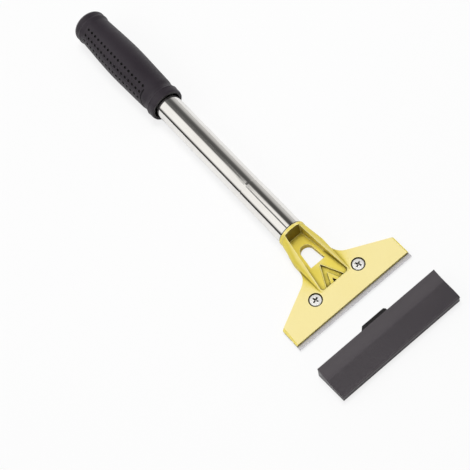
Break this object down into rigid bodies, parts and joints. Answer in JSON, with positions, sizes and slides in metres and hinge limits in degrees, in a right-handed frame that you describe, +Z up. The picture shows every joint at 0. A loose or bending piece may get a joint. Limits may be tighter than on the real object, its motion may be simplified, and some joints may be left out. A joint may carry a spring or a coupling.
{
  "type": "long-handle razor blade scraper",
  "caption": "Long-handle razor blade scraper: cast T head that clamps a wide blade, bright tube handle with rubber grip, and a separate slide-on blade guard.",
  "frame": {"origin": "midway between the two clamp screws, on the underside of the clamp plate, which is the table's surface", "axes": "+X along the handle to the cutting edge, +Y along the blade, +Z up"},
  "size_m": [0.3584, 0.1042, 0.0289],
  "materials": {
    "gold_casting": "satin",
    "blade_steel": "satin",
    "screw_steel": "polished",
    "bright_tube": "polished",
    "black_rubber": "matte",
    "guard_plastic": "matte"
  },
  "bodies": {
    "tool": {"head_casting": "gold_casting", "handle_tube": "bright_tube", "grip_sleeve": "black_rubber"},
    "clamp": {"clamp_plate": "gold_casting", "blade": "blade_steel"},
    "screw_left": {"clamp_screw_left": "screw_steel"},
    "screw_right": {"clamp_screw_right": "screw_steel"},
    "guard": {"blade_guard": "guard_plastic"}
  },
  "joints": [
    {"name": "clamp_drop", "type": "slide", "parent": "tool", "child": "clamp", "axis": [0, 0, -1], "range_m": [0, 0.000836]},
    {"name": "screw_left_turn", "type": "hinge", "parent": "tool", "child": "screw_left", "pos_m": [0, -0.0192, 0.0047], "axis": [0, 0, 1], "range_deg": [0, 430]},
    {"name": "screw_right_turn", "type": "hinge", "parent": "tool", "child": "screw_right", "pos_m": [0, 0.0192, 0.0047], "axis": [0, 0, 1], "range_deg": [0, 430]},
    {"name": "guard_slide", "type": "slide", "parent": "tool", "child": "guard", "axis": [-0.999, 0, -0.0443], "range_m": [0, 0.0429]}
  ],
  "couplings": [
    {"joint": "screw_left_turn", "follows": "clamp_drop", "rad_per_m": 8976},
    {"joint": "screw_right_turn", "follows": "clamp_drop", "rad_per_m": 8976}
  ]
}
